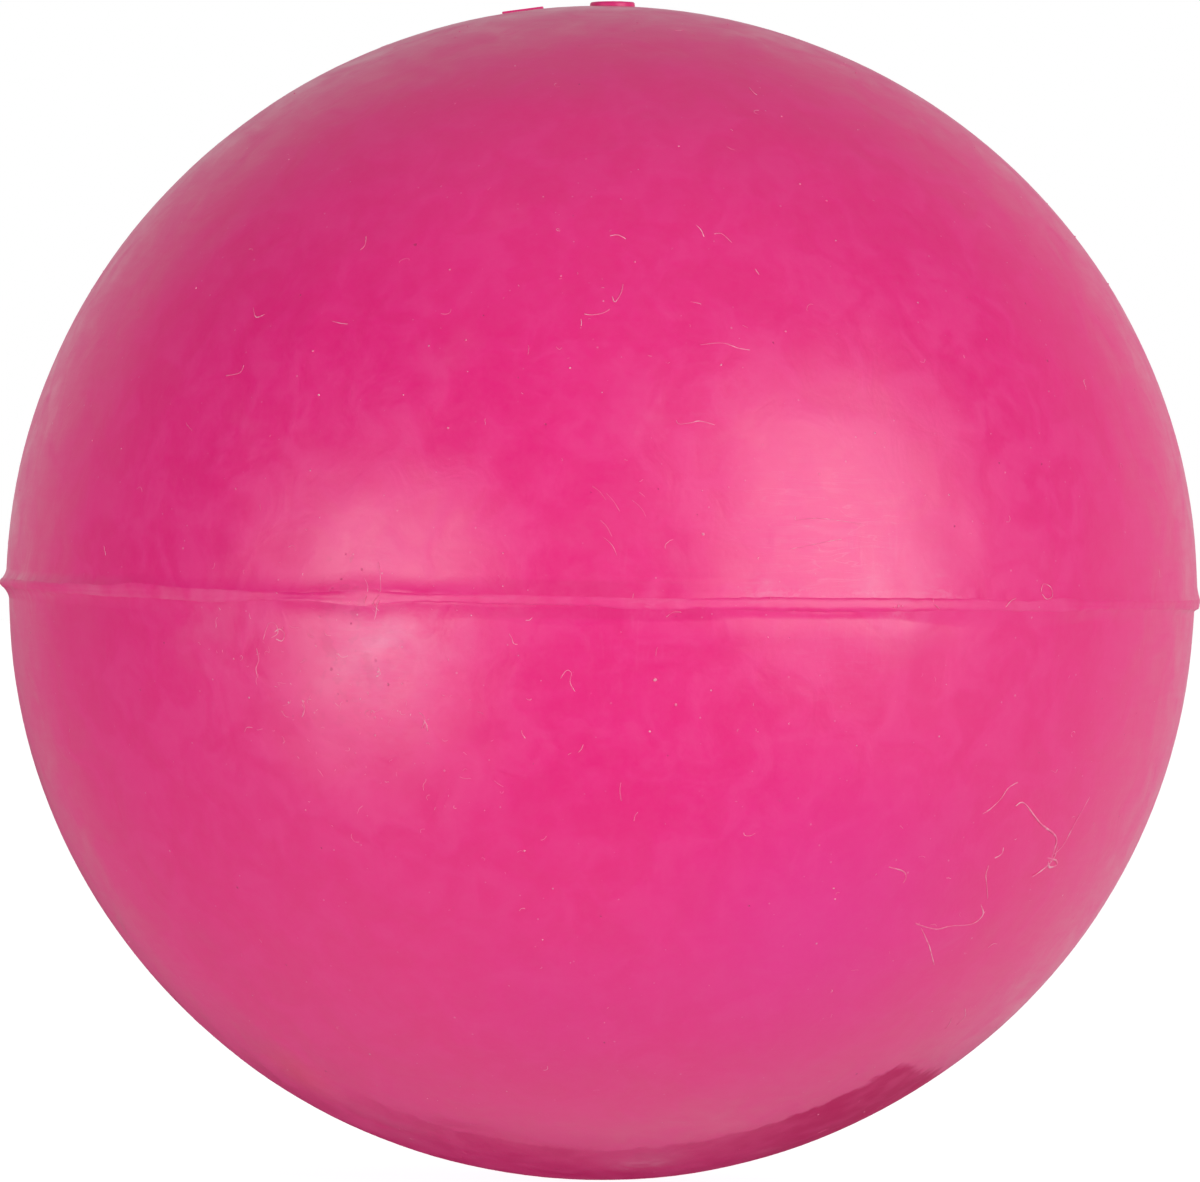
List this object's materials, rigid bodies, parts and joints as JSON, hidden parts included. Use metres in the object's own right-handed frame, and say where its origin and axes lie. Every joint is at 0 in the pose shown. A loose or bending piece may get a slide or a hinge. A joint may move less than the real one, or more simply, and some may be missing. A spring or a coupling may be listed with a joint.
{
  "type": "rubber ball",
  "caption": "Hollow pink rubber play ball, slightly flattened at its poles, with a low moulding ridge round the middle and a trimmed air plug at the top. Bounces, rolls and is thrown.",
  "frame": {"origin": "centre of the ball, on its parting plane", "axes": "+Z along the mould axis, from the ball's centre to the air plug; the raised bar lies towards -X from the plug"},
  "size_m": [0.0605, 0.0604, 0.0593],
  "materials": {
    "cup_rubber": "satin vulcanised rubber, strong pink, with a faint pale bloom",
    "seam_rubber": "satin rubber, pink, slightly paler than the cups",
    "plug_rubber": "soft satin rubber, pink"
  },
  "bodies": {
    "root": {"upper_cup": "cup_rubber", "lower_cup": "cup_rubber", "seam_ring": "seam_rubber", "air_plug": "plug_rubber"}
  },
  "joints": []
}
